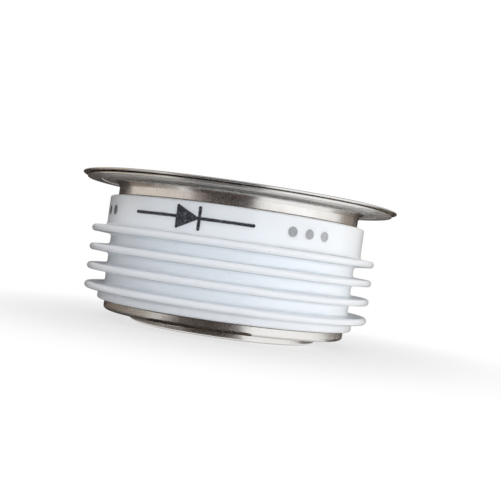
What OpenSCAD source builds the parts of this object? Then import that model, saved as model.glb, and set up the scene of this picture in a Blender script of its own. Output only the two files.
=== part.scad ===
// Disc rectifier cell: a silicon wafer pressed between two copper poles, sealed
// in a finned ceramic ring whose lid is cold welded to a thin double flange.
// Millimetres. The axis is Z, and the lower contact face lies on Z = 0.

/* [Poles] */
// Diameter of the contact face on each pole
contact_d = 34; // [28:0.5:40]
// Rounding of the contact face's edge
contact_edge_r = 0.3; // [0.1:0.05:0.35]
// Diameter of the centring hole in each contact face
centring_d = 3.5; // [2:0.1:6]
// Depth of the centring hole's straight wall, below its chamfer
centring_depth = 3; // [2:0.1:5]
// Chamfer at the mouth of the centring hole
centring_chamfer = 0.3; // [0.1:0.05:0.6]
// Included angle of the drill point at the end of the centring hole
drill_point_angle = 118; // [90:1:140]
// Height of the lower contact face below the sealing ring's foot
lower_boss_h = 1.4; // [0.5:0.05:3]
// Height of the upper contact face above the flange
upper_boss_h = 0.5; // [0.35:0.05:1]
// Thickness of the brim that each pole is brazed by
brim_t = 0.9; // [0.6:0.05:1.5]
// Gap between each pole's brim and the ceramic's bore
brim_gap = 0.4; // [0.2:0.1:1.5]
// Gap between each pole and the sheet that is brazed round it
pole_sheet_gap = 0.1; // [0.05:0.05:0.3]

/* [Ceramic] */
// Wall of the ceramic ring behind its grooves
ceramic_wall = 2; // [1.5:0.1:4]
// Depth of the grooves between the fins, from fin tip to groove floor
fin_depth = 3.5; // [2.5:0.1:5]
// Height of the plain bands above the groove floors
land_step = 0.95; // [0.5:0.05:1.4]
// Number of fins
fin_count = 4; // [3:1:6]
// Distance from one fin to the next
fin_pitch = 3.4; // [3:0.1:4.5]
// Thickness of a fin at its round tip
fin_t = 1.2; // [1:0.05:1.6]
// Slope of each fin's flank
fin_taper = 4; // [1:0.5:5]
// Rounding between a fin and the groove floor
fin_fillet_r = 0.5; // [0.2:0.05:0.55]
// Distance from the ceramic's top face down to the first fin
first_fin_drop = 6.1; // [4:0.1:10]
// Distance from the ceramic's bottom face up to the last fin
last_fin_rise = 2.2; // [2.2:0.1:6]
// Rounding of the ceramic's outer rims
ceramic_edge_r = 0.35; // [0.1:0.05:0.5]
// Gap between the wafer's rim and the ceramic's bore
chip_gap = 1.4; // [1.1:0.1:3]

/* [Metal rings] */
// Ledge of ceramic left outside the metal rings
seal_ledge = 1.35; // [0.8:0.05:1.8]
// Thickness of the drawn rings' metal
ring_t = 0.5; // [0.3:0.05:0.7]
// Height of the lower sealing ring
lower_ring_h = 1.65; // [1.2:0.05:3]
// Outer bend radius at the lower sealing ring's foot
lower_bend_r = 0.6; // [0.3:0.05:0.7]
// Straight height of the weld ring's sleeve
sleeve_h = 1.25; // [0.8:0.05:3]
// Radius of the cove from the sleeve out to the flange
cove_r = 1.3; // [0.8:0.05:2.5]
// Distance from the sleeve's wall out to the rim of the lid
flange_reach = 6.75; // [5.8:0.05:9]
// Distance that the weld ring's rim stands back from the lid's rim
weld_rim_setback = 0.8; // [0.2:0.05:1]
// Thickness of the brazing between metal and ceramic
seal_braze_t = 0.15; // [0.1:0.05:0.3]
// Width of brazing that shows outside the metal rings
seal_braze_show = 0.35; // [0.1:0.05:0.6]
// Thickness of the brazing between metal and metal
pole_braze_t = 0.1; // [0.05:0.05:0.2]

/* [Lid] */
// Thickness of the lid's sheet
lid_t = 0.4; // [0.3:0.05:0.6]
// Lift of the lid's rim off the weld ring, outside the weld
rim_lift = 0.2; // [0.1:0.05:0.4]
// Width of the lid's flat rim, outside the weld
rim_w = 1.75; // [1:0.05:2.2]
// Width of the step between the weld and the rim
rim_step_w = 0.8; // [0.4:0.05:1]
// Depth of the lid's trough below the weld
trough_depth = 1.4; // [1.1:0.05:2]
// Inner bend radius of the lid's trough
trough_bend_r = 0.3; // [0.2:0.05:0.35]
// Gap between the trough and the weld ring's wall
trough_gap = 0.3; // [0.2:0.05:0.8]
// Width of the groove that the welding tool presses into each sheet
weld_groove_w = 1.2; // [0.6:0.05:1.8]
// Depth of the welding tool's groove
weld_groove_depth = 0.12; // [0.05:0.01:0.2]

/* [Wafer stack] */
// Width of the wafer's rim outside the contact face
wafer_margin = 2; // [1.6:0.1:3]
// Thickness of the silicon wafer
wafer_t = 0.6; // [0.4:0.05:1]
// Width of the bevel ground on the wafer's edge
wafer_bevel = 0.6; // [0.3:0.05:0.9]
// Thickness of the molybdenum disc under the wafer
lower_moly_t = 2; // [1.5:0.1:3]
// Thickness of the molybdenum disc over the wafer
upper_moly_t = 1.5; // [1:0.1:3]
// Thickness of the silver foil between the wafer and the upper disc
foil_t = 0.2; // [0.1:0.05:0.3]
// Thickness of the silicone bead outside the wafer's rim
bead_t = 0.9; // [0.5:0.05:1]
// Height of the silicone bead over the wafer's upper face
bead_rise = 0.6; // [0.3:0.05:1]
// Height of the bead's skirt down the lower molybdenum disc
bead_skirt = 0.9; // [0.4:0.05:1.1]
// Height of each centring ring
centring_ring_h = 2.4; // [1.5:0.1:4]
// Wall of the upper centring ring
centring_ring_wall = 1.2; // [0.8:0.1:2]
// Height that the lower centring ring's lip stands up round the molybdenum disc
centring_lip_h = 0.3; // [0.2:0.05:0.35]
// Clearance round the pieces that the centring rings hold
slip_gap = 0.1; // [0.05:0.05:0.2]

/* [Hidden] */
// Segments in each rounded corner, and round each turned piece
arc_steps = 10;
$fn = 128;

// Radii, from the contact face outwards
contact_r = contact_d / 2;
wafer_r = contact_r + wafer_margin;
bore_r = wafer_r + chip_gap;
groove_r = bore_r + ceramic_wall;
land_r = groove_r + land_step;
fin_r = groove_r + fin_depth;
ring_r = land_r - seal_ledge;
ring_inner_r = ring_r - ring_t;
lid_rim_r = ring_r + flange_reach;
weld_rim_r = lid_rim_r - weld_rim_setback;
rim_inner_r = lid_rim_r - rim_w;
weld_outer_r = rim_inner_r - rim_step_w;
weld_inner_r = ring_r + cove_r;
brim_r = bore_r - brim_gap;
sheet_bore_r = contact_r + pole_sheet_gap;
trough_r = ring_inner_r - trough_gap;

// Heights, from the lower contact face upwards
foot_top_z = lower_boss_h + ring_t;
lower_brim_z = foot_top_z + pole_braze_t;
lower_ring_top_z = lower_boss_h + lower_ring_h;
ceramic_z = lower_ring_top_z + seal_braze_t;
ceramic_top_z = ceramic_z + last_fin_rise + (fin_count - 1) * fin_pitch + first_fin_drop;
weld_ring_z = ceramic_top_z + seal_braze_t;
cove_z = weld_ring_z + sleeve_h;
weld_flange_z = cove_z + cove_r;
lid_z = weld_flange_z + ring_t;
flange_top_z = lid_z + rim_lift + lid_t;
total_h = flange_top_z + upper_boss_h;
trough_z = lid_z + lid_t - trough_depth;
lid_braze_z = trough_z - lid_t - pole_braze_t;

// Heights in the wafer stack, which sits midway between the contact faces
stack_h = lower_moly_t + wafer_t + foil_t + upper_moly_t;
pole_h = (total_h - stack_h) / 2;
wafer_z = pole_h + lower_moly_t;
foil_z = wafer_z + wafer_t;
upper_moly_z = foil_z + foil_t;

// Points along an arc about centre c, from angle a0 to angle a1
function arc(c, r, a0, a1) =
    [for (i = [0:arc_steps]) let (a = a0 + (a1 - a0) * i / arc_steps) c + r * [cos(a), sin(a)]];

// Points of an outline turned upside down about height z, in the same sense round
function flipped(points, z) =
    [for (i = [len(points) - 1:-1:0]) [points[i][0], 2 * z - points[i][1]]];

// Height of fin i's middle, counted down from the top
function fin_z(i) = ceramic_top_z - first_fin_drop - i * fin_pitch;

// Upper half of a fin: from its tip, in along the flank, round the fillet to a floor of radius root_r
function fin_upper_half(z, root_r) =
    let (
        tip_r = fin_t / 2,
        tip = [fin_r - tip_r, z],
        flank_r = root_r + fin_fillet_r,
        edge = tip + tip_r * [sin(fin_taper), cos(fin_taper)],
        flank_z = edge[1] + (edge[0] - flank_r) * tan(fin_taper),
        fillet = [flank_r, flank_z + fin_fillet_r / cos(fin_taper)]
    )
    concat(
        arc(tip, tip_r, 0, 90 - fin_taper),
        arc(fillet, fin_fillet_r, 270 - fin_taper, 180)
    );

// Whole fin, from the floor below it round to the floor above it
function fin_outline(i) =
    let (
        below_r = i == fin_count - 1 ? land_r : groove_r,
        above_r = i == 0 ? land_r : groove_r
    )
    concat(
        flipped(fin_upper_half(fin_z(i), below_r), fin_z(i)),
        fin_upper_half(fin_z(i), above_r)
    );

// Groove pressed into a sheet's face at height z, from its inner edge to its outer one
function weld_groove(z, depth) =
    let (
        mid_r = (weld_inner_r + weld_outer_r) / 2,
        half_w = weld_groove_w / 2,
        floor_half_w = half_w - weld_groove_depth
    )
    [
        [mid_r - half_w, z], [mid_r - floor_half_w, z + depth],
        [mid_r + floor_half_w, z + depth], [mid_r + half_w, z]
    ];

// Turns an outline in the radius and height plane about the axis
module turned(points) {
    rotate_extrude() polygon(points);
}

// Flat ring of rectangular section
module flat_ring(inner_r, outer_r, z, h) {
    turned([[inner_r, z], [outer_r, z], [outer_r, z + h], [inner_r, z + h]]);
}

// Plain disc
module disc(r, z, h) {
    translate([0, 0, z]) cylinder(r = r, h = h);
}

// Centring hole in a contact face at height 0, drilled upwards
module centring_hole() {
    hole_r = centring_d / 2;
    mouth_r = hole_r + centring_chamfer;
    end_z = centring_chamfer + centring_depth;
    point_h = hole_r / tan(drill_point_angle / 2);
    start_z = -1;
    turned([
        [0, start_z], [mouth_r, start_z], [mouth_r, 0], [hole_r, centring_chamfer],
        [hole_r, end_z], [0, end_z + point_h]
    ]);
}

// Copper pole with its contact face down at height 0, and a brim whose near face is at brim_z
module pole(brim_z) {
    difference() {
        turned(concat(
            [[0, 0]],
            arc([contact_r - contact_edge_r, contact_edge_r], contact_edge_r, -90, 0),
            [
                [contact_r, brim_z], [brim_r, brim_z],
                [brim_r, brim_z + brim_t], [contact_r, brim_z + brim_t],
                [contact_r, pole_h], [0, pole_h]
            ]
        ));
        centring_hole();
    }
}

module ceramic_insulator() {
    rim_r = land_r - ceramic_edge_r;
    color("white")
    turned(concat(
        [[bore_r, ceramic_z]],
        arc([rim_r, ceramic_z + ceramic_edge_r], ceramic_edge_r, -90, 0),
        [for (i = [fin_count - 1:-1:0]) each fin_outline(i)],
        arc([rim_r, ceramic_top_z - ceramic_edge_r], ceramic_edge_r, 0, 90),
        [[bore_r, ceramic_top_z]]
    ));
}

// Its brim stands on the sealing ring's foot
module lower_pole() {
    color("silver") pole(lower_brim_z);
}

// The same pole upside down, with its brim under the lid's trough
module upper_pole() {
    color("silver")
    translate([0, 0, total_h]) mirror([0, 0, 1]) pole(total_h - lid_braze_z);
}

// Drawn ring of L section: its wall carries the ceramic, its foot reaches in to the lower pole
module lower_sealing_ring() {
    color("lightgray")
    turned(concat(
        [[sheet_bore_r, lower_boss_h]],
        arc([ring_r - lower_bend_r, lower_boss_h + lower_bend_r], lower_bend_r, -90, 0),
        [
            [ring_r, lower_ring_top_z], [ring_inner_r, lower_ring_top_z],
            [ring_inner_r, foot_top_z], [sheet_bore_r, foot_top_z]
        ]
    ));
}

// Drawn ring whose sleeve stands on the ceramic and flares through a cove into the lower flange
module upper_weld_ring() {
    cove = [weld_inner_r, cove_z];
    lip_r = ring_t / 2;
    color("lightgray")
    turned(concat(
        [[ring_inner_r, weld_ring_z], [ring_r, weld_ring_z]],
        arc(cove, cove_r, 180, 90),
        weld_groove(weld_flange_z, weld_groove_depth),
        arc([weld_rim_r - lip_r, weld_flange_z + lip_r], lip_r, -90, 90),
        arc(cove, cove_r + ring_t, 90, 180)
    ));
}

// Pressed lid: a flat rim, a step down to the weld, and a trough round the upper pole
module lid_diaphragm() {
    lip_r = lid_t / 2;
    weld_top_z = lid_z + lid_t;
    outer_bend_r = trough_bend_r + lid_t;
    shoulder = [trough_r + trough_bend_r, lid_z - trough_bend_r];
    heel = [trough_r - outer_bend_r, trough_z + trough_bend_r];
    color("lightgray")
    turned(concat(
        [[sheet_bore_r, trough_z - lid_t]],
        arc(heel, outer_bend_r, -90, 0),
        arc(shoulder, trough_bend_r, 180, 90),
        [[weld_outer_r, lid_z], [rim_inner_r, lid_z + rim_lift]],
        arc([lid_rim_r - lip_r, lid_z + rim_lift + lip_r], lip_r, -90, 90),
        [[rim_inner_r, flange_top_z], [weld_outer_r, weld_top_z]],
        flipped(weld_groove(weld_top_z, weld_groove_depth), weld_top_z),
        arc(shoulder, outer_bend_r, 90, 180),
        arc(heel, trough_bend_r, 0, -90),
        [[sheet_bore_r, trough_z]]
    ));
}

module lower_seal_braze() {
    color("gray") flat_ring(ring_inner_r, ring_r + seal_braze_show, lower_ring_top_z, seal_braze_t);
}

module upper_seal_braze() {
    color("gray") flat_ring(ring_inner_r, ring_r + seal_braze_show, ceramic_top_z, seal_braze_t);
}

module lower_pole_braze() {
    color("gray") flat_ring(sheet_bore_r, brim_r, foot_top_z, pole_braze_t);
}

module lid_braze() {
    color("gray") flat_ring(sheet_bore_r, brim_r, lid_braze_z, pole_braze_t);
}

module lower_molybdenum_disc() {
    color("dimgray") disc(wafer_r, pole_h, lower_moly_t);
}

// Wafer whose edge is ground to a bevel, narrowing upwards
module silicon_wafer() {
    color("darkslategray")
    translate([0, 0, wafer_z]) cylinder(r1 = wafer_r, r2 = wafer_r - wafer_bevel, h = wafer_t);
}

module silver_foil() {
    color("gainsboro") disc(contact_r, foil_z, foil_t);
}

module upper_molybdenum_disc() {
    color("dimgray") disc(contact_r, upper_moly_z, upper_moly_t);
}

// Silicone moulded round the wafer's bevel, over its upper face and down the disc below it
module wafer_edge_bead() {
    bead_r = wafer_r + bead_t;
    top_z = foil_z + bead_rise;
    skirt_z = wafer_z - bead_skirt;
    color("firebrick")
    turned([
        [wafer_r, skirt_z], [bead_r, skirt_z], [bead_r, foil_z],
        [wafer_r, top_z], [contact_r + slip_gap, top_z], [contact_r + slip_gap, foil_z],
        [wafer_r - wafer_bevel, foil_z], [wafer_r, wafer_z]
    ]);
}

// Plastic ring round the lower pole, with a lip that centres the disc on it
module lower_centring_ring() {
    held_r = contact_r + slip_gap;
    outer_r = bore_r - slip_gap;
    lip_r = wafer_r + slip_gap;
    seat_z = pole_h;
    lip_z = seat_z + centring_lip_h;
    color("ivory")
    turned([
        [held_r, seat_z - centring_ring_h], [outer_r, seat_z - centring_ring_h],
        [outer_r, lip_z], [lip_r, lip_z], [lip_r, seat_z], [held_r, seat_z]
    ]);
}

// Plastic ring that keeps the upper disc in line with the upper pole
module upper_centring_ring() {
    held_r = contact_r + slip_gap;
    base_z = foil_z + bead_rise;
    color("ivory") flat_ring(held_r, held_r + centring_ring_wall, base_z, centring_ring_h);
}

ceramic_insulator();
lower_pole();
upper_pole();
lower_sealing_ring();
upper_weld_ring();
lid_diaphragm();
lower_seal_braze();
upper_seal_braze();
lower_pole_braze();
lid_braze();
lower_molybdenum_disc();
silicon_wafer();
silver_foil();
upper_molybdenum_disc();
wafer_edge_bead();
lower_centring_ring();
upper_centring_ring();
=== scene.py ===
"""Looks of a disc rectifier cell: glazed ceramic ring, nickel-plated rings, lid and poles, printed marks.

Lengths are written in millimetres, and become metres where a mesh, lamp or camera is made.
"""
import math

import bpy
import numpy as np
from mathutils import Matrix, Vector


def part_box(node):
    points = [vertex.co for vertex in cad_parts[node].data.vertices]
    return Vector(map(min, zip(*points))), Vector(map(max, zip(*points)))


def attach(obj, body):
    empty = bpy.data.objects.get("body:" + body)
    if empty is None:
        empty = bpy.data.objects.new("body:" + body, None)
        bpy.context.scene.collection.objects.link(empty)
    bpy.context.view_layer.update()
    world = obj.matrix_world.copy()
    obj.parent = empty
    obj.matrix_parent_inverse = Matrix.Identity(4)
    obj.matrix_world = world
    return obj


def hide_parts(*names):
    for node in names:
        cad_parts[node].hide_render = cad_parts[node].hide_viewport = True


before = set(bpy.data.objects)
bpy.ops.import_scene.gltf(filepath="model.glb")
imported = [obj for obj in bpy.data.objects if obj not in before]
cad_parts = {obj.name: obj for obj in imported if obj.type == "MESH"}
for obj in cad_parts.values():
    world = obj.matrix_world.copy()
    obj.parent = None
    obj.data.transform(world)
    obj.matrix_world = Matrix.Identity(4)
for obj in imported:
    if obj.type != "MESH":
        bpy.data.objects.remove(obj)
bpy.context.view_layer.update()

MM = 0.001


def reach(node):
    """Outer radius, lowest height and highest height of a turned CAD node."""
    low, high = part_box(node)
    return high.x / MM, low.z / MM, high.z / MM


# Sizes read from the frame
FIN_R, CERAMIC_Z, CERAMIC_TOP_Z = reach("ceramic_insulator")
WELD_RIM_R, WELD_RING_Z, LID_Z = reach("upper_weld_ring")
LID_RIM_R, LID_FLOOR_Z, FLANGE_TOP_Z = reach("lid_diaphragm")
RING_R, FOOT_Z, LOWER_RING_TOP_Z = reach("lower_sealing_ring")
BRIM_R, _, POLE_H = reach("lower_pole")
TOTAL_H = reach("upper_pole")[2]
CONTACT_R = reach("silver_foil")[0]
BRAZE_R, UPPER_BRAZE_Z, UPPER_BRAZE_TOP_Z = reach("upper_seal_braze")
LOWER_BRIM_Z = reach("lower_pole_braze")[2]
LID_BRAZE_Z = reach("lid_braze")[1]

# Ceramic
BORE_R = 20.4
GROOVE_R = 22.4
LAND_R = 23.35
FIN_COUNT = 4
FIN_PITCH = 3.4
FIN_T = 1.2
FIN_TAPER = math.radians(4)
FIN_FILLET_R = 0.5
ROUND_TIP = 0.98
FIRST_FIN_DROP = 6.1
CERAMIC_EDGE_R = 0.35
BORE_EDGE_R = 0.15
FIN_WARP = 0.05
BARE_END_H = 0.08
PINHOLE_R, PINHOLE_CHOICE = 0.07, 0.9

# Metal sheet
RING_T = 0.5
LID_T = 0.4
RING_INNER_R = RING_R - RING_T
BORE_PLAY = 0.1
SHEET_BORE_R = CONTACT_R + BORE_PLAY
LOWER_BEND_R = 0.6
COVE_R = 1.3
WELD_INNER_R = RING_R + COVE_R
WELD_OUTER_R = 26.2
WELD_MIDDLE_R = (WELD_INNER_R + WELD_OUTER_R) / 2
RIM_INNER_R = 27.0
RIM_LIFT = 0.2
TROUGH_R = 21.2
TROUGH_BEND_R = 0.3
WELD_GROOVE_W = 1.2
WELD_GROOVE_DEPTH = 0.12
SHEARED_EDGE_R = 0.08
STEP_BEND_R = 0.5
RIM_WAVE = 0.06
RIM_NIP = 0.12
NIP_EVEN, NIP_SWAY, NIP_TURN = 0.7, 0.3, 0.5
ROUND_RIM = 0.48
# Painted shade on the foot ring's outer bend: it starts, and is full, this far in from the ring's outer
# radius
CREASE_SHADE_START = 1.2
CREASE_SHADE_FULL = 0.7
BRAZE_SOFTNESS = 0.4

# Poles
CONTACT_EDGE_R = 0.3
HOLE_R = 1.75
HOLE_DEPTH = 3.0
HOLE_CHAMFER = 0.3
DRILL_ANGLE = math.radians(118)
DRILL_POINT_H = HOLE_R / math.tan(DRILL_ANGLE / 2)
BRIM_T = 0.9
TURNED_EDGE_R = 0.12
TOOL_FEED = 0.3
AXIS_ROUNDING = 1e-6

# Printed marks: the symbol's bar and leads are counted in dots
DOT_PITCH = 0.42
DOT_R = 0.29
BAR_HALF = 4
BAR_COLUMN = 4
LEAD_END = 25
RANK_DOT_R = 0.85
RANK_DOT_GAP = 3.2
RANK_FADE_STEP = 0.06
DOT_LIFT = 0.012
DOT_SINK = 0.01
DOT_SIDES = 16
DOT_JITTER = 0.015
JITTER_SEED = 7
MARK_Z = 19.0
FRONT = -math.pi / 2

# Mesh steps: round the axis, in each rounded corner, and along a screen
TURN_STEPS = 288
ARC_STEPS = 8
SCREEN_STEPS = 25

# Stage and light
FLOOR_HALF = 3000
FLOOR_DROP = 0.02
FLOOR_SHADE = (0.72, 0.715, 0.71, 1)
SHADOW_GLOW = 0.7
SHADOW_R, WHITE_R = 22, 64
FELT_ROUGHNESS = 0.9
SCREEN_LIFT = 0.05
SCREEN_LEAN = 0.3
ROOM_LIGHT = 0.34
ZENITH_GLOSS = 0.45
ZENITH_FADE = (0.03, 0.75)
LEFT_FADE = (0.0, 0.9)
LEFT_TONE = (0.74, 0.67, 0.60, 1)
LAMP_SCALE = 4
AIM = Vector((0, 0, TOTAL_H / 2))

# Camera, about level with the cell's middle and rolled a little
CAMERA_PLACE = (0.0, -164.92, 13.73)
CAMERA_YAW, CAMERA_PITCH, CAMERA_ROLL = 0.019, 0.010, 0.138
IMAGE_SIDE = 500
FOCAL_PIXELS = 893.4
SENSOR_W = 36.0
NEAR_CLIP = 10


def rounded_outline(corners):
    """Outline in the plane of radius and height, with each corner rounded, and its outward normals.

    The corners are rows of radius, height and rounding, anticlockwise round the material. A corner gives
    way to an arc that touches both its sides: the arc's centre is on the corner's bisector, at the rounding
    over the sine of half the corner's angle, and it turns left where the corner stands out and right where
    it goes in.
    """
    corners = np.array(corners, float)
    place, rounding = corners[:, :2], corners[:, 2:]
    back = np.roll(place, 1, axis=0) - place
    ahead = np.roll(place, -1, axis=0) - place
    back /= np.linalg.norm(back, axis=1, keepdims=True)
    ahead /= np.linalg.norm(ahead, axis=1, keepdims=True)
    half = np.arccos(np.sum(back * ahead, axis=1, keepdims=True)) / 2
    middle = (back + ahead) / np.linalg.norm(back + ahead, axis=1, keepdims=True)
    centre = place + middle * rounding / np.sin(half)
    first = place + back * rounding / np.tan(half) - centre
    last = place + ahead * rounding / np.tan(half) - centre
    start = np.arctan2(first[:, 1], first[:, 0])
    sweep = (np.arctan2(last[:, 1], last[:, 0]) - start + np.pi) % (2 * np.pi) - np.pi
    turn = start[:, None] + sweep[:, None] * np.linspace(0, 1, ARC_STEPS)
    ray = np.stack([np.cos(turn), np.sin(turn)], axis=-1)
    points = centre[:, None] + rounding[:, None] * ray
    normals = ray * np.sign(sweep)[:, None, None]
    return points.reshape(-1, 2), normals.reshape(-1, 2)


def upside_down(corners, height):
    """The same corners mirrored about half this height, in reverse so that they stay anticlockwise."""
    return [(radius, height - z, rounding) for radius, z, rounding in reversed(corners)]


def true_turned(radius, angle):
    """No lift: the piece is turned true."""
    return 0 * radius * angle


def rim_wave(radius, angle):
    """Lift of the thin flange, which is never quite flat.

    Sines of two, three and five turns round the axis, growing with the square of the way from the cove to
    the rim. Both sheets take the same lift, so they stay face to face.
    """
    out = np.clip((radius - WELD_INNER_R) / (LID_RIM_R - WELD_INNER_R), 0, 1) ** 2
    sway = 0.6 * np.sin(2 * angle + 0.9) + 0.4 * np.sin(3 * angle + 2.2) + 0.15 * np.sin(5 * angle + 0.3)
    return RIM_WAVE * out * sway


def lid_wave(radius, angle):
    """Lift of the lid: the flange's own, less the nip of its free rim down towards the weld ring's.

    The nip grows evenly from the weld to the rim, and follows a cosine round the axis, most at the right.
    """
    out = np.clip((radius - WELD_OUTER_R) / (RIM_INNER_R - WELD_OUTER_R), 0, 1)
    nip = RIM_NIP * out * (NIP_EVEN + NIP_SWAY * np.cos(angle + NIP_TURN))
    return rim_wave(radius, angle) - nip


def fin_droop(radius, angle):
    """Lift of the fins, which warp a little in firing: two slow sines, in step with the way out."""
    out = np.clip((radius - LAND_R) / (FIN_R - LAND_R), 0, 1)
    return FIN_WARP * out * (np.sin(2 * angle + 0.4) + 0.5 * np.sin(3 * angle + 1.7))


def meshed(name, vertices, faces, facing):
    """Object with a smooth mesh of these vertices in millimetres, arrays of faces, and normals."""
    used = np.zeros(len(vertices), bool)
    for kind in faces:
        used[kind.ravel()] = True
    number = np.cumsum(used) - 1
    corners = [face for kind in faces for face in number[kind].tolist()]
    mesh = bpy.data.meshes.new(name)
    mesh.from_pydata((vertices[used] * MM).tolist(), [], corners, shade_flat=False)
    mesh.normals_split_custom_set_from_vertices(facing[used].tolist())
    piece = bpy.data.objects.new(name, mesh)
    bpy.context.scene.collection.objects.link(piece)
    return piece


def turned_piece(name, corners, lift=true_turned, solid_core=False):
    """Surface of revolution: an outline point at radius r and height z goes to (r cos a, r sin a, z + lift).

    The normals are the outline's own, turned with it. With a solid core, the outline's first and last
    corners are on the axis, where each is one point with triangles round it. Otherwise the last ring joins
    the first.
    """
    points, normals = rounded_outline(corners)
    if solid_core:
        inside = slice(ARC_STEPS - 1, 1 - ARC_STEPS)
        points, normals = points[inside], normals[inside]
    angle = np.linspace(0, 2 * np.pi, TURN_STEPS, endpoint=False)[None, :]
    radius, height = points[:, :1], points[:, 1:]
    x, y, z = radius * np.cos(angle), radius * np.sin(angle), height + lift(radius, angle)
    across, up = normals[:, :1], normals[:, 1:]
    facing = np.stack(np.broadcast_arrays(across * np.cos(angle), across * np.sin(angle), up), axis=-1)
    number = np.arange(x.size).reshape(x.shape)
    onward = np.roll(number, -1, axis=1)
    if solid_core:
        low, high = np.arange(1, len(points) - 2), np.arange(2, len(points) - 1)
        bottom, top = np.full(TURN_STEPS, number[0, 0]), np.full(TURN_STEPS, number[-1, 0])
        caps = [
            np.stack([bottom, onward[1], number[1]], axis=-1),
            np.stack([number[-2], onward[-2], top], axis=-1),
        ]
    else:
        low, high, caps = np.arange(len(points)), np.roll(np.arange(len(points)), -1), []
    walls = np.stack([number[low], onward[low], onward[high], number[high]], axis=-1).reshape(-1, 4)
    vertices = np.stack([x, y, z], axis=-1).reshape(-1, 3)
    return meshed(name, vertices, [walls] + caps, facing.reshape(-1, 3))


def fin_corners(height, floor_below, floor_above):
    """One fin, from the floor below it to the one above: flanks at the taper, a round tip, and fillets."""
    tip_half = FIN_T / 2 * (1 / math.cos(FIN_TAPER) - math.tan(FIN_TAPER))
    tip_rounding = ROUND_TIP * FIN_T / 2
    below = tip_half + (FIN_R - floor_below) * math.tan(FIN_TAPER)
    above = tip_half + (FIN_R - floor_above) * math.tan(FIN_TAPER)
    return [
        (floor_below, height - below, FIN_FILLET_R), (FIN_R, height - tip_half, tip_rounding),
        (FIN_R, height + tip_half, tip_rounding), (floor_above, height + above, FIN_FILLET_R),
    ]


def ceramic_corners():
    """The ceramic's section: a foot, the fins from the lowest up, the marking band, and the bore."""
    corners = [(BORE_R, CERAMIC_Z, BORE_EDGE_R), (LAND_R, CERAMIC_Z, CERAMIC_EDGE_R)]
    for step in reversed(range(FIN_COUNT)):
        corners += fin_corners(
            CERAMIC_TOP_Z - FIRST_FIN_DROP - step * FIN_PITCH,
            LAND_R if step == FIN_COUNT - 1 else GROOVE_R,
            LAND_R if step == 0 else GROOVE_R,
        )
    return corners + [(LAND_R, CERAMIC_TOP_Z, CERAMIC_EDGE_R), (BORE_R, CERAMIC_TOP_Z, BORE_EDGE_R)]


def weld_groove_corners(height, depth):
    """Groove of the welding tool in a sheet's face at this height, from its inner edge to its outer one."""
    half, floor = WELD_GROOVE_W / 2, WELD_GROOVE_W / 2 - WELD_GROOVE_DEPTH
    return [
        (WELD_MIDDLE_R - half, height, SHEARED_EDGE_R),
        (WELD_MIDDLE_R - floor, height + depth, SHEARED_EDGE_R),
        (WELD_MIDDLE_R + floor, height + depth, SHEARED_EDGE_R),
        (WELD_MIDDLE_R + half, height, SHEARED_EDGE_R),
    ]


def weld_ring_corners():
    """The weld ring's section: a sleeve, the cove, and the flange's lower sheet with groove and round rim."""
    flange_z = LID_Z - RING_T
    rim_rounding = ROUND_RIM * RING_T
    return [
        (RING_INNER_R, WELD_RING_Z, SHEARED_EDGE_R), (RING_R, WELD_RING_Z, SHEARED_EDGE_R),
        (RING_R, flange_z, COVE_R), *weld_groove_corners(flange_z, WELD_GROOVE_DEPTH),
        (WELD_RIM_R, flange_z, rim_rounding), (WELD_RIM_R, LID_Z, rim_rounding),
        (RING_INNER_R, LID_Z, COVE_R + RING_T),
    ]


def lid_corners():
    """The lid's section: its trough's floor and wall, the weld, the step up, the rim, and back on top."""
    weld_top_z = LID_Z + LID_T
    rim_rounding = ROUND_RIM * LID_T
    return [
        (SHEET_BORE_R, LID_FLOOR_Z, SHEARED_EDGE_R), (TROUGH_R, LID_FLOOR_Z, TROUGH_BEND_R + LID_T),
        (TROUGH_R, LID_Z, TROUGH_BEND_R),
        (WELD_OUTER_R, LID_Z, STEP_BEND_R), (RIM_INNER_R, LID_Z + RIM_LIFT, STEP_BEND_R),
        (LID_RIM_R, LID_Z + RIM_LIFT, rim_rounding), (LID_RIM_R, FLANGE_TOP_Z, rim_rounding),
        (RIM_INNER_R, FLANGE_TOP_Z, STEP_BEND_R), (WELD_OUTER_R, weld_top_z, STEP_BEND_R),
        *reversed(weld_groove_corners(weld_top_z, -WELD_GROOVE_DEPTH)),
        (TROUGH_R - LID_T, weld_top_z, TROUGH_BEND_R + LID_T),
        (TROUGH_R - LID_T, LID_FLOOR_Z + LID_T, TROUGH_BEND_R),
        (SHEET_BORE_R, LID_FLOOR_Z + LID_T, SHEARED_EDGE_R),
    ]


def sealing_ring_corners():
    """The lower ring's section: an L with its foot reaching in to the pole."""
    return [
        (SHEET_BORE_R, FOOT_Z, SHEARED_EDGE_R), (RING_R, FOOT_Z, LOWER_BEND_R),
        (RING_R, LOWER_RING_TOP_Z, SHEARED_EDGE_R), (RING_INNER_R, LOWER_RING_TOP_Z, SHEARED_EDGE_R),
        (RING_INNER_R, FOOT_Z + RING_T, LOWER_BEND_R - RING_T),
        (SHEET_BORE_R, FOOT_Z + RING_T, SHEARED_EDGE_R),
    ]


def pole_corners(brim_z):
    """A pole's section with its contact face at height 0: drill point, hole, chamfer, face, side and brim."""
    hole_end_z = HOLE_CHAMFER + HOLE_DEPTH
    return [
        (0, hole_end_z + DRILL_POINT_H, AXIS_ROUNDING), (HOLE_R, hole_end_z, TURNED_EDGE_R),
        (HOLE_R, HOLE_CHAMFER, TURNED_EDGE_R), (HOLE_R + HOLE_CHAMFER, 0, TURNED_EDGE_R),
        (CONTACT_R, 0, CONTACT_EDGE_R), (CONTACT_R, brim_z, TURNED_EDGE_R), (BRIM_R, brim_z, TURNED_EDGE_R),
        (BRIM_R, brim_z + BRIM_T, TURNED_EDGE_R), (CONTACT_R, brim_z + BRIM_T, TURNED_EDGE_R),
        (CONTACT_R, POLE_H, TURNED_EDGE_R), (0, POLE_H, AXIS_ROUNDING),
    ]


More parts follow.
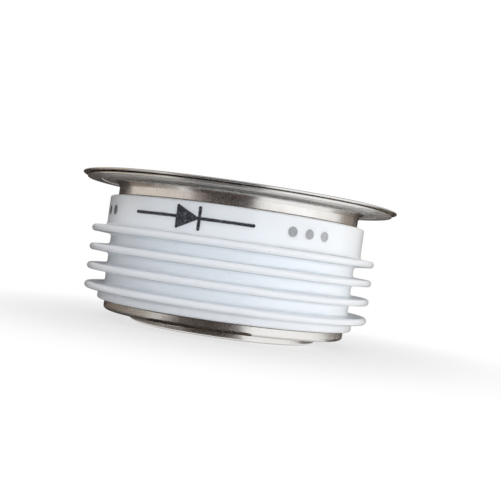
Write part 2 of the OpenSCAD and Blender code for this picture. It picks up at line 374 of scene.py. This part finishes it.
def braze_corners(low_z, high_z):
    """Ring of brazing between a metal ring and the ceramic, with a soft outer edge."""
    edge = BRAZE_SOFTNESS * (high_z - low_z)
    return [
        (RING_INNER_R, low_z, edge), (BRAZE_R, low_z, edge),
        (BRAZE_R, high_z, edge), (RING_INNER_R, high_z, edge),
    ]


def diode_symbol(turn):
    """Dots of a plain diode symbol, a filled arrow, a bar and two leads: angle, height, radius and fade.

    The bar and leads are the chosen places of a grid. The arrow's columns shorten evenly up to the bar.
    """
    tip = BAR_COLUMN - 1
    tail = tip - 2 * BAR_HALF
    row, column = np.mgrid[-BAR_HALF:BAR_HALF + 1, -LEAD_END:LEAD_END + 1]
    inked = (row == 0) & ((column < tail) | (column > tip)) | (column == BAR_COLUMN)
    step, file = np.mgrid[0:2 * BAR_HALF + 1, tail:tip + 1]
    half = (tip - file) / 2
    within = step <= 2 * half
    along = DOT_PITCH * np.concatenate([column[inked], file[within]])
    height = DOT_PITCH * np.concatenate([row[inked], (half - step)[within]])
    return FRONT + math.radians(turn) + along / LAND_R, MARK_Z + height, 0 * along + DOT_R, 0 * along


def rank_dots(turn, fade):
    """Three large dots side by side, the last the palest: angle, height, radius and fade."""
    step = np.arange(-1, 2)
    angle = FRONT + math.radians(turn) + step * RANK_DOT_GAP / LAND_R
    return angle, MARK_Z + 0.0 * step, RANK_DOT_R + 0.0 * step, fade + RANK_FADE_STEP * step


def ink_dots(name, marks):
    """Dots of ink on the marking band, each a thin lens.

    Its rim is a circle wrapped on the band, and two points close it: one just above the glaze, one just
    below.
    """
    middle, level, size, fades = [np.concatenate(part)[:, None] for part in zip(*marks)]
    shake = np.random.default_rng(JITTER_SEED).uniform(-DOT_JITTER, DOT_JITTER, (3, len(size), 1))
    rim = np.linspace(0, 2 * np.pi, DOT_SIDES, endpoint=False)[None, :]
    size = size + shake[0]
    across = np.concatenate([size * np.cos(rim), 0 * size, 0 * size], axis=1) + shake[1]
    height = level + np.concatenate([size * np.sin(rim), 0 * size, 0 * size], axis=1) + shake[2]
    radius = LAND_R + np.array([DOT_LIFT / 4] * DOT_SIDES + [DOT_LIFT, -DOT_SINK])
    angle = middle + across / LAND_R
    vertices = np.stack([radius * np.cos(angle), radius * np.sin(angle), height], axis=-1)
    side = np.where(np.arange(DOT_SIDES + 2) == DOT_SIDES + 1, -1.0, 1.0)
    facing = np.stack([side * np.cos(angle), side * np.sin(angle), 0 * angle], axis=-1)
    first = np.arange(len(size))[:, None] * (DOT_SIDES + 2)
    here = first + np.arange(DOT_SIDES)
    following = first + (np.arange(DOT_SIDES) + 1) % DOT_SIDES
    over = np.broadcast_to(first + DOT_SIDES, here.shape)
    under = np.broadcast_to(first + DOT_SIDES + 1, here.shape)
    faces = [
        np.stack([here, following, over], axis=-1).reshape(-1, 3),
        np.stack([following, here, under], axis=-1).reshape(-1, 3),
    ]
    piece = meshed(name, vertices.reshape(-1, 3), faces, facing.reshape(-1, 3))
    fade = piece.data.attributes.new("fade", "FLOAT", "POINT")
    fade.data.foreach_set("value", np.repeat(fades, DOT_SIDES + 2).astype(np.float32))
    return piece


class Field:
    """One output socket of a node tree, with arithmetic.

    Sums, products and comparisons of fields and numbers add Math nodes; add() makes any other node.
    """

    def __init__(self, tree, socket=None):
        self.tree = tree
        self.socket = socket

    def add(self, kind, settings=None, sockets=None, output=0):
        """Adds a node of a kind, makes its settings, then fills its sockets, and gives one of its outputs."""
        node = self.tree.nodes.new("ShaderNode" + kind)
        for name, value in (settings or {}).items():
            setattr(node, name, value)
        for name, value in (sockets or {}).items():
            fill(self.tree, node.inputs[name], value)
        return Field(self.tree, node.outputs[output])

    def other(self, output):
        """Another output of the same node."""
        return Field(self.tree, self.socket.node.outputs[output])

    def math(self, operation, *values):
        """Math node on these values, or on this field alone."""
        return self.add("Math", {"operation": operation}, dict(enumerate(values or [self])))

    def __add__(self, other):
        return self.math("ADD", self, other)

    def __sub__(self, other):
        return self.math("SUBTRACT", self, other)

    def __rsub__(self, other):
        return self.math("SUBTRACT", other, self)

    def __mul__(self, other):
        return self.math("MULTIPLY", self, other)

    def __lt__(self, other):
        return self.math("LESS_THAN", self, other)

    def __gt__(self, other):
        return self.math("GREATER_THAN", self, other)

    def __or__(self, other):
        return self.math("MAXIMUM", self, other)

    __radd__ = __add__
    __rmul__ = __mul__

    def rise(self, low, high):
        """0 below low, 1 above high, smooth between."""
        return self.add("MapRange", {"interpolation_type": "SMOOTHSTEP"},
                        {"Value": self, "From Min": low, "From Max": high})

    def blend(self, low, high):
        """Colour that goes from low to high as this value goes from 0 to 1."""
        return self.add("Mix", {"data_type": "RGBA"}, {0: self, 6: low, 7: high}, output=2)

    def noise(self, scale, detail=2.0, roughness=0.5):
        """Noise about 0.5 at this place, with this many features to a millimetre."""
        return self.add("TexNoise", {},
                        {"Vector": self, "Scale": scale, "Detail": detail, "Roughness": roughness})

    def spots(self, scale):
        """Distance to the nearest of many scattered points; the node's colour is one to each point."""
        return self.add("TexVoronoi", {}, {"Vector": self, "Scale": scale})

    def bump(self, distance):
        """Normal of a surface that this value raises by up to a distance in millimetres."""
        return self.add("Bump", {}, {"Height": self, "Distance": distance * MM, "Strength": 1.0})


def fill(tree, socket, value):
    """Sets a socket to a number or colour, or links a field to it."""
    if isinstance(value, Field):
        tree.links.new(value.socket, socket)
    else:
        socket.default_value = value


def new_finish(name):
    """New material, and the place on the piece in millimetres."""
    finish = bpy.data.materials.new(name)
    finish.use_nodes = True
    place = Field(finish.node_tree).add("TexCoord", output="Object")
    return finish, place.add("VectorMath", {"operation": "SCALE"}, {0: place, "Scale": 1 / MM})


def surface(finish, **values):
    """Fills the sockets of a material's shader, named with underscores for spaces."""
    shader = finish.node_tree.nodes["Principled BSDF"]
    for name, value in values.items():
        fill(finish.node_tree, shader.inputs[name.replace("_", " ")], value)
    return finish


def round_axis(place):
    """Distance from the axis, and height, at each place."""
    x = place.add("SeparateXYZ", {}, {0: place})
    return (x * x + x.other("Y") * x.other("Y")).math("SQRT"), x.other("Z")


def turning_lines(place, pitch):
    """Fine lines round the axis: noise that changes with radius and height alone, about 0.5."""
    radius, height = round_axis(place)
    section = place.add("CombineXYZ", {}, {0: radius, 1: height})
    return section.noise(1 / pitch, 3.0, 0.7)


def scratches(place, scale, width):
    """Long thin curved marks: 1 where a slow noise crosses 0.5, broken up by a second noise."""
    crossing = 1 - (place.noise(scale, 1.0) - 0.5).math("ABSOLUTE").rise(0.0, width)
    return crossing * place.noise(3 * scale, 1.0).rise(0.5, 0.6)


def glazed_alumina():
    """White alumina under a clear glaze: painted shade in the grooves, faint clouds, pinholes, and bare ends.
    """
    finish, place = new_finish("glazed_alumina")
    radius, height = round_axis(place)
    clouds = place.noise(0.12, 3.0)
    # Painted shade: a mask that is 1 in the grooves, where shade falls
    groove = 1 - radius.rise(GROOVE_R + 0.1, LAND_R + 0.2)
    cells = place.spots(0.7)
    chosen = cells.other("Color").add("SeparateColor", {}, {0: cells.other("Color")})
    pinhole = (cells < PINHOLE_R) * (chosen > PINHOLE_CHOICE)
    bare = (height > CERAMIC_TOP_Z - BARE_END_H) | (height < CERAMIC_Z + BARE_END_H)
    colour = clouds.rise(0.35, 0.7).blend((0.872, 0.905, 0.945, 1), (0.865, 0.892, 0.925, 1))
    # Painted shade: the grooves go a fifth of the way to a greyer, greener white
    colour = (groove * 0.2).blend(colour, (0.855, 0.905, 0.915, 1))
    colour = (pinhole * 0.55).blend(colour, (0.42, 0.36, 0.29, 1))
    ripple = place.noise(0.9, 2.0).bump(0.03)
    return surface(
        finish, Base_Color=colour, Roughness=0.34 + 0.12 * place.noise(0.5) + 0.3 * bare,
        Coat_Weight=0.65 - 0.65 * bare, Coat_Roughness=0.12, Normal=ripple,
        Subsurface_Weight=0.8, Subsurface_Radius=(1.0, 0.97, 0.94), Subsurface_Scale=1.5 * MM,
    )


def nickel_sheet():
    """Satin nickel on drawn sheet: lines round the axis, smudges, scratches and straw tint by the joints.

    The flange's underside is duller, where the tool pressed it, and painted shade darkens the lower ring's
    outer bend by its foot.
    """
    finish, place = new_finish("nickel_sheet")
    radius, height = round_axis(place)
    lines = turning_lines(place, 0.3)
    by_weld = 1 - (radius - WELD_MIDDLE_R).math("ABSOLUTE").rise(WELD_GROOVE_W / 2, WELD_GROOVE_W * 1.3)
    underside = (height < LID_Z - 0.6 * RING_T) * (height > WELD_RING_Z)
    pressed = radius.rise(RING_R + RING_T, WELD_INNER_R) * underside
    by_braze = 1 - (height - WELD_RING_Z).math("ABSOLUTE").rise(0.2, 0.9)
    patches = place.noise(0.2, 5.0, 0.65)
    tint = patches.rise(0.3, 0.8) * (0.1 + 0.2 * (by_weld | by_braze))
    # Painted shade: the foot ring's outer bend by its foot, standing in for the shadowed gap above the pole
    low = 1 - height.rise(FOOT_Z + 0.1 * RING_T, FOOT_Z + RING_T)
    crease_shade = low * radius.rise(RING_R - CREASE_SHADE_START, RING_R - CREASE_SHADE_FULL)
    smudge = place.noise(0.3, 4.0, 0.7).rise(0.42, 0.7)
    marks = scratches(place, 0.22, 0.0025)
    colour = tint.blend((0.84, 0.828, 0.812, 1), (0.68, 0.59, 0.48, 1))
    colour = (lines.rise(0.3, 0.8) * 0.25).blend(colour, (0.73, 0.715, 0.695, 1))
    # Painted shade: that bend goes six tenths of the way to a dark brown
    colour = (crease_shade * 0.6).blend(colour, (0.15, 0.11, 0.09, 1))
    return surface(
        finish, Base_Color=colour, Metallic=1.0,
        Roughness=0.19 + 0.08 * smudge + 0.08 * lines + 0.1 * marks + 0.16 * pressed,
        Normal=(lines * 0.8 - marks * 0.3).bump(0.0025),
    )


def nickel_pole():
    """Satin nickel on turned copper: even tool marks, uneven lines between them, scratches from handling."""
    finish, place = new_finish("nickel_pole")
    radius, height = round_axis(place)
    tool_marks = ((radius + height) * (2 * math.pi / TOOL_FEED)).math("SINE") * 0.5 + 0.5
    lines = turning_lines(place, 0.25)
    clouds = place.noise(0.25, 5.0, 0.7).rise(0.4, 0.75)
    marks = scratches(place, 0.16, 0.002)
    colour = (clouds * 0.2).blend((0.81, 0.797, 0.78, 1), (0.69, 0.64, 0.58, 1))
    colour = (lines.rise(0.35, 0.8) * 0.3).blend(colour, (0.64, 0.628, 0.61, 1))
    return surface(
        finish, Base_Color=colour, Metallic=1.0,
        Roughness=0.2 + 0.08 * clouds + 0.12 * lines + 0.1 * marks,
        Normal=(tool_marks * 0.4 + lines * 0.8 - marks * 0.3).bump(0.003),
    )


def dull_brazing():
    """Dull grey brazing, lumpy where it froze, with darker flux stains."""
    finish, place = new_finish("dull_brazing")
    stain = place.noise(0.5, 4.0, 0.6).rise(0.4, 0.7)
    return surface(
        finish, Base_Color=(stain * 0.7).blend((0.34, 0.325, 0.30, 1), (0.17, 0.15, 0.13, 1)), Metallic=0.9,
        Roughness=0.42 + 0.2 * stain, Normal=place.noise(2.5, 3.0).bump(0.05),
    )


def marking_ink():
    """Blue-black ink, greyer by each dot's fade, thin and uneven within a dot."""
    finish, place = new_finish("marking_ink")
    fade = place.add("Attribute", {"attribute_name": "fade"}, output="Fac")
    thin = place.noise(3.0, 2.0).rise(0.45, 0.8) * 0.2
    return surface(
        finish, Base_Color=(fade + thin).blend((0.022, 0.022, 0.035, 1), (0.72, 0.73, 0.74, 1)),
        Roughness=0.45 + 0.2 * place.noise(2.0), Specular_IOR_Level=0.3,
    )


def lapped_molybdenum():
    """Grey metal lapped in random swirls."""
    finish, place = new_finish("lapped_molybdenum")
    swirl = place.noise(1.6, 5.0, 0.75)
    return surface(
        finish, Base_Color=swirl.blend((0.44, 0.44, 0.455, 1), (0.54, 0.54, 0.545, 1)), Metallic=1.0,
        Roughness=0.35 + 0.15 * swirl, Normal=swirl.bump(0.006),
    )


def polished_silicon():
    """Dark polished silicon with a faint blue cloud of oxide."""
    finish, place = new_finish("polished_silicon")
    oxide = place.noise(0.15, 3.0).rise(0.35, 0.7)
    return surface(
        finish, Base_Color=oxide.blend((0.17, 0.185, 0.21, 1), (0.20, 0.235, 0.30, 1)), Metallic=0.6,
        Roughness=0.1 + 0.08 * place.noise(1.0), Normal=place.noise(0.8).bump(0.002),
    )


def soft_silver():
    """Bright silver foil with soft creases and a yellowish bloom."""
    finish, place = new_finish("soft_silver")
    bloom = place.noise(0.2, 3.0).rise(0.45, 0.75)
    return surface(
        finish, Base_Color=(bloom * 0.5).blend((0.86, 0.855, 0.84, 1), (0.78, 0.72, 0.60, 1)), Metallic=1.0,
        Roughness=0.2 + 0.12 * bloom, Normal=place.noise(0.5, 4.0).bump(0.04),
    )


def cured_silicone():
    """Red-brown cured silicone, matt and slightly uneven."""
    finish, place = new_finish("cured_silicone")
    clouds = place.noise(0.4, 3.0)
    return surface(
        finish, Base_Color=clouds.blend((0.50, 0.135, 0.085, 1), (0.60, 0.19, 0.12, 1)),
        Roughness=0.5 + 0.2 * clouds, Normal=place.noise(1.5, 3.0).bump(0.05),
    )


def turned_plastic():
    """White plastic turned from bar, with fine lines round the axis."""
    finish, place = new_finish("turned_plastic")
    lines = turning_lines(place, 0.15)
    return surface(
        finish, Base_Color=place.noise(0.2).blend((0.86, 0.86, 0.84, 1), (0.90, 0.90, 0.88, 1)),
        Roughness=0.48 + 0.15 * lines, Normal=lines.bump(0.01),
    )


def put(piece, finish, node=None):
    """Gives a piece its finish, and puts it in the CAD node's place."""
    piece.data.materials.append(finish)
    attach(piece, "root")
    if node:
        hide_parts(node)


def seen_rays(start):
    """1 for rays that show the background, from the camera or through glass, and 1 for rays off gloss."""
    path = start.add("LightPath", output="Is Camera Ray")
    return path | path.other("Is Transmission Ray"), path.other("Is Glossy Ray")


def floor_finish():
    """Pale floor that keeps the shadow close to the cell and runs out to white.

    It is clear from below, and in the gloss of the contact face that stands on it.
    """
    finish, place = new_finish("pale_floor")
    tree = finish.node_tree
    tree.nodes.remove(tree.nodes["Principled BSDF"])
    radius = round_axis(place)[0]
    away = radius.rise(SHADOW_R, WHITE_R)
    matt = place.add("BsdfDiffuse", {}, {"Color": FLOOR_SHADE})
    glow = place.add("Emission", {}, {"Color": (1, 1, 1, 1), "Strength": 1.0})
    direct, glossy = seen_rays(place)
    white = direct * (SHADOW_GLOW + (1 - SHADOW_GLOW) * away) + glossy
    top = place.add("MixShader", {}, {0: white, 1: matt, 2: glow})
    clear = place.add("NewGeometry", output="Backfacing") | glossy * (radius < CONTACT_R)
    both = place.add("MixShader", {}, {0: clear, 1: top, 2: place.add("BsdfTransparent")})
    tree.links.new(both.socket, tree.nodes["Material Output"].inputs["Surface"])
    return finish


def floor_plate():
    """Square floor just under the cell: u and v on a grid of two by two, each from minus half to half."""
    u, v = np.meshgrid([-FLOOR_HALF, FLOOR_HALF], [-FLOOR_HALF, FLOOR_HALF])
    vertices = np.stack([u, v, 0 * u - FLOOR_DROP], axis=-1).reshape(-1, 3)
    plate = meshed("floor", vertices, [np.array([[0, 1, 3, 2]])], np.tile((0.0, 0.0, 1.0), (4, 1)))
    plate.data.materials.append(floor_finish())


def felt(name, colour):
    """Plain matt felt for the screens."""
    return surface(new_finish(name + "_felt")[0], Base_Color=(*colour, 1), Roughness=FELT_ROUGHNESS)


def gloss_screen(name, cloth, first, last, near, far, height):
    """Matt screen that only shows in the gloss of the cell, so that its metal has something to reflect.

    It runs out over the floor from the near distance to the far one and then up to its height. That path is
    carried round the axis from the first turn to the last, in degrees to the right of the camera.
    """
    angle = FRONT + np.radians(np.linspace(first, last, SCREEN_STEPS))[None, :]
    distance = np.array([near, far, far])[:, None]
    x, y = distance * np.cos(angle), distance * np.sin(angle)
    z = np.broadcast_to(np.array([SCREEN_LIFT, SCREEN_LIFT, height])[:, None], x.shape)
    number = np.arange(x.size).reshape(x.shape)
    walls = np.stack([number[:-1, :-1], number[1:, :-1], number[1:, 1:], number[:-1, 1:]], axis=-1)
    facing = np.stack(np.broadcast_arrays(-np.cos(angle), -np.sin(angle), SCREEN_LEAN + 0 * x), axis=-1)
    vertices = np.stack([x, y, z], axis=-1).reshape(-1, 3)
    screen = meshed(name, vertices, [walls.reshape(-1, 4)], facing.reshape(-1, 3))
    screen.data.materials.append(cloth)
    screen.visible_camera = screen.visible_diffuse = screen.visible_shadow = False


def soft_lamp(name, turn, tilt, distance, width, height, brightness, colour, in_gloss=True):
    """Soft panel lamp that faces the cell.

    Its turn is in degrees to the right of the camera, and its tilt in degrees above the floor. A lamp that
    isn't in the gloss only lights matt surfaces, so it leaves no bright panel on the metal and glaze.
    """
    azimuth, lift = FRONT + math.radians(turn), math.radians(tilt)
    way = Vector((math.cos(azimuth) * math.cos(lift), math.sin(azimuth) * math.cos(lift), math.sin(lift)))
    data = bpy.data.lights.new(name, "AREA")
    data.shape = "RECTANGLE"
    data.size = width * MM
    data.size_y = height * MM
    data.energy = LAMP_SCALE * brightness * data.size * data.size_y
    data.color = colour
    lamp = bpy.data.objects.new(name, data)
    lamp.location = (AIM + way * distance) * MM
    lamp.rotation_euler = way.to_track_quat("Z", "Y").to_euler()
    lamp.visible_glossy = in_gloss
    bpy.context.scene.collection.objects.link(lamp)


def white_room():
    """World that is white to the camera, and lights matt surfaces less.

    In the gloss it is white at the horizon, darker towards the zenith, and browner to the left.
    """
    world = bpy.data.worlds.new("white_room")
    world.use_nodes = True
    bpy.context.scene.world = world
    room = Field(world.node_tree)
    direct, glossy = seen_rays(room)
    way = room.add("TexCoord", output="Generated")
    x = way.add("SeparateXYZ", {}, {0: way})
    steep = x.other("Z").math("ABSOLUTE").rise(*ZENITH_FADE)
    strength = ROOM_LIGHT + (1 - ROOM_LIGHT) * direct
    strength = strength + glossy * (1 - ROOM_LIGHT - (1 - ZENITH_GLOSS) * steep)
    leftward = (0 - x).rise(*LEFT_FADE)
    tone = (leftward * glossy).blend((1, 1, 1, 1), LEFT_TONE)
    background = world.node_tree.nodes["Background"]
    fill(world.node_tree, background.inputs["Color"], tone)
    fill(world.node_tree, background.inputs["Strength"], strength)


def level_camera():
    """Camera that looks forward by its yaw and pitch, with its right and up turned by the roll."""
    forward = Vector((math.sin(CAMERA_YAW) * math.cos(CAMERA_PITCH),
                      math.cos(CAMERA_YAW) * math.cos(CAMERA_PITCH), math.sin(CAMERA_PITCH)))
    level = Vector((math.cos(CAMERA_YAW), -math.sin(CAMERA_YAW), 0))
    upright = level.cross(forward)
    right = math.cos(CAMERA_ROLL) * level + math.sin(CAMERA_ROLL) * upright
    up = math.cos(CAMERA_ROLL) * upright - math.sin(CAMERA_ROLL) * level
    lens = bpy.data.cameras.new("camera")
    lens.sensor_width = SENSOR_W
    lens.lens = FOCAL_PIXELS / IMAGE_SIDE * SENSOR_W
    lens.clip_start = NEAR_CLIP * MM
    camera = bpy.data.objects.new("camera", lens)
    turned = Matrix((right, up, -forward)).transposed().to_4x4()
    camera.matrix_world = Matrix.Translation(Vector(CAMERA_PLACE) * MM) @ turned
    bpy.context.scene.collection.objects.link(camera)
    bpy.context.scene.camera = camera


# Turned pieces in the places of the solids that show
ceramic, sheet, pole, brazing = glazed_alumina(), nickel_sheet(), nickel_pole(), dull_brazing()
upper_pole_corners = upside_down(pole_corners(TOTAL_H - LID_BRAZE_Z), TOTAL_H)
put(turned_piece("glazed_ring", ceramic_corners(), fin_droop),
    ceramic, "ceramic_insulator")
put(turned_piece("flange_and_sleeve", weld_ring_corners(), rim_wave),
    sheet, "upper_weld_ring")
put(turned_piece("dished_lid", lid_corners(), lid_wave),
    sheet, "lid_diaphragm")
put(turned_piece("foot_ring", sealing_ring_corners()),
    sheet, "lower_sealing_ring")
put(turned_piece("lower_contact", pole_corners(LOWER_BRIM_Z), solid_core=True),
    pole, "lower_pole")
put(turned_piece("upper_contact", upper_pole_corners, solid_core=True),
    pole, "upper_pole")
put(turned_piece("upper_braze_line", braze_corners(UPPER_BRAZE_Z, UPPER_BRAZE_TOP_Z)),
    brazing, "upper_seal_braze")
put(turned_piece("lower_braze_line", braze_corners(LOWER_RING_TOP_Z, CERAMIC_Z)),
    brazing, "lower_seal_braze")

# Marks on the band: turns in degrees round the axis from the front
put(ink_dots("ink_marks", [diode_symbol(-19), rank_dots(31, 0.5), rank_dots(-72, 0.1)]),
    marking_ink())

# Finishes of the pieces inside, which keep their solids
inner_finishes = [
    (brazing, ["lower_pole_braze", "lid_braze"]),
    (polished_silicon(), ["silicon_wafer"]),
    (soft_silver(), ["silver_foil"]),
    (cured_silicone(), ["wafer_edge_bead"]),
    (lapped_molybdenum(), ["lower_molybdenum_disc", "upper_molybdenum_disc"]),
    (turned_plastic(), ["lower_centring_ring", "upper_centring_ring"]),
]
for finish, nodes in inner_finishes:
    for node in nodes:
        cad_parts[node].material_slots[0].material = finish

# Screens: name, felt, first and last turn, near and far distance, and height
umber = felt("umber", (0.055, 0.042, 0.037))
fawn = felt("fawn", (0.42, 0.345, 0.285))
cream = felt("cream", (0.66, 0.60, 0.545))
ivory = felt("ivory", (0.93, 0.865, 0.80))
bistre = felt("bistre", (0.115, 0.085, 0.085))
dun = felt("dun", (0.21, 0.17, 0.145))
flat = 2 * SCREEN_LIFT
screens = [
    ("front_screen", umber, -30, 14, 295, 300, 100),
    ("front_near_apron", fawn, -30, 14, 18, 24, flat),
    ("front_apron", dun, -30, 14, 24, 55, flat),
    ("front_floor", bistre, -30, 14, 55, 295, flat),
    ("dusk_apron", dun, -38, -30, 18, 50, flat),
    ("dusk_floor", bistre, -42, -30, 50, 245, flat),
    ("dusk_screen", dun, -42, -30, 245, 250, 60),
    ("left_apron", ivory, -58, -38, 18, 30, flat),
    ("near_card", ivory, -44, -38, 30, 50, flat),
    ("left_card", ivory, -58, -49, 30, 200, 15),
    ("middle_card", cream, -78, -58, 18, 200, 15),
    ("far_card", fawn, -118, -78, 18, 200, 15),
    ("left_screen", umber, -170, -118, 18, 260, 60),
    ("right_near_apron", ivory, 63, 75, 18, 30, flat),
    ("right_middle_apron", cream, 75, 88, 18, 30, flat),
    ("right_far_apron", fawn, 88, 106, 18, 30, flat),
    ("right_near_card", ivory, 88, 106, 30, 200, 1),
    ("right_card", fawn, 106, 136, 18, 260, 60),
    ("right_screen", umber, 136, 175, 18, 260, 60),
]

# Lamps: name, turn, tilt, distance, width, height, brightness and colour
matt_lamps = [
    ("far_left_strip", -60, 2, 450, 400, 60, 1.3, (1.0, 0.92, 0.85)),
    ("left_strip", -30, 2, 450, 400, 60, 2.2, (0.84, 0.88, 1.0)),
    ("front_strip", 0, 2, 450, 400, 60, 1.8, (0.72, 0.86, 1.0)),
    ("right_strip", 30, 2, 450, 400, 60, 7.0, (0.95, 0.965, 1.0)),
    ("key_strip", 60, 2, 450, 400, 60, 4.5, (1.0, 0.965, 0.93)),
    ("side_strip", 120, 2, 450, 400, 60, 8.4, (1.0, 0.97, 0.94)),
    ("high_lamp", -45, 45, 450, 400, 120, 1.5, (0.98, 0.96, 1.0)),
    ("back_lamp", 180, 10, 450, 600, 200, 1.6, (1.0, 1.0, 1.0)),
]
gloss_lamps = [
    ("top_lamp", 150, 62, 520, 300, 160, 0.8, (1.0, 1.0, 1.0)),
    ("wide_panel", 57, 5, 450, 640, 220, 0.09, (1.0, 1.0, 1.0)),
    ("narrow_panel", 50, 5, 450, 420, 220, 0.09, (1.0, 1.0, 1.0)),
]

floor_plate()
for screen_row in screens:
    gloss_screen(*screen_row)
for lamp_row in matt_lamps:
    soft_lamp(*lamp_row, in_gloss=False)
for lamp_row in gloss_lamps:
    soft_lamp(*lamp_row)
white_room()
level_camera()
bpy.context.scene.view_settings.view_transform = "Standard"
